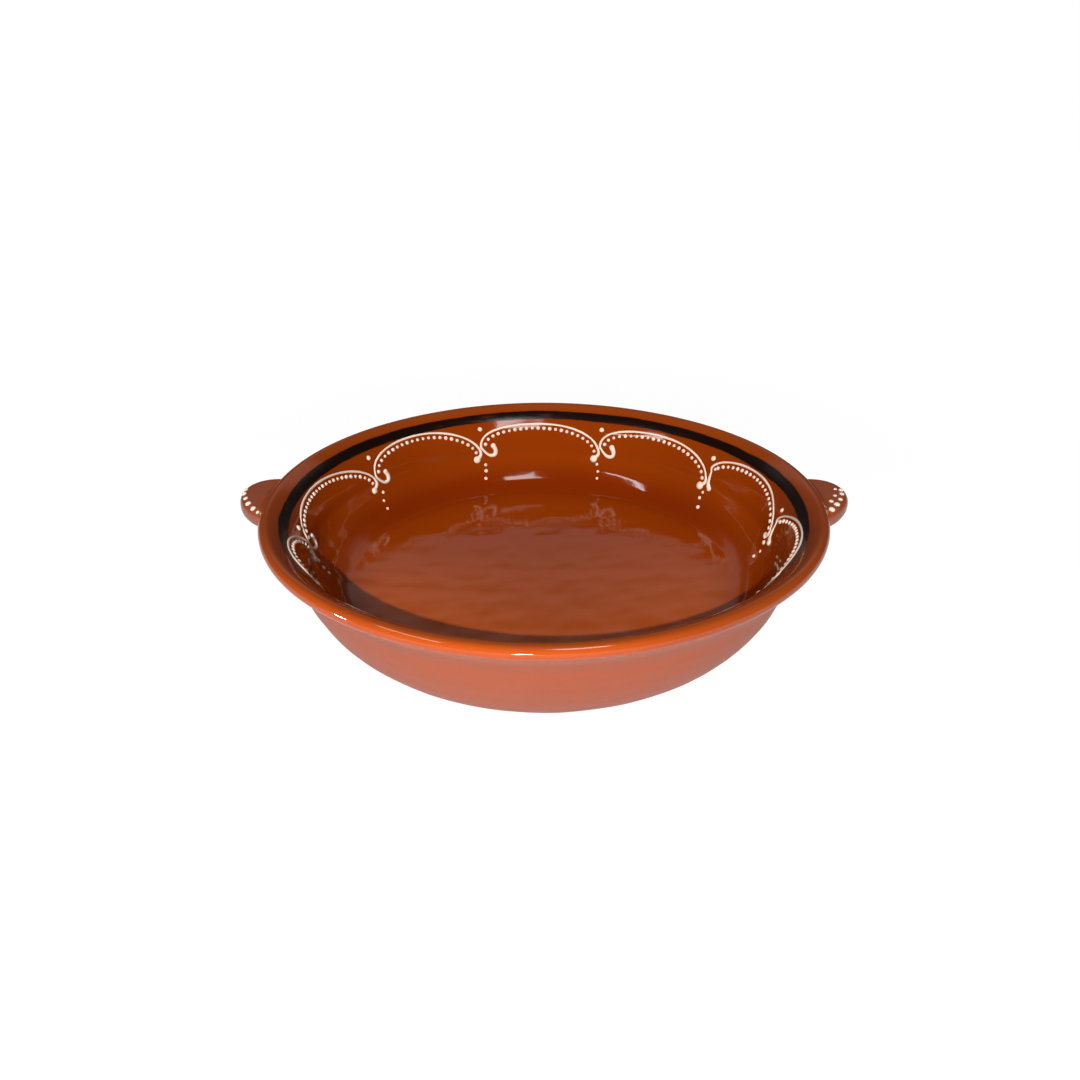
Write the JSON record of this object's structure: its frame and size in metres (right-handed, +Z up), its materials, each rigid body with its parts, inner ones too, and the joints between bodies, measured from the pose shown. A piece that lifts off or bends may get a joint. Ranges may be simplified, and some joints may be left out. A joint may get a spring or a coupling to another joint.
{
  "type": "round clay dish with ear handles",
  "caption": "Round flat-bottomed clay dish with a coved inside, a flared rounded rim and a small ear handle at each side, for baking and serving.",
  "frame": {"origin": "centre of the flat base, on the surface that the dish rests on", "axes": "+Z up out of the dish; +X along the line through both ear handles; +Y away from the picture's camera"},
  "size_m": [0.312, 0.2798, 0.065],
  "materials": {
    "glazed_clay": "gloss"
  },
  "bodies": {
    "root": {"dish": "glazed_clay"}
  },
  "joints": []
}
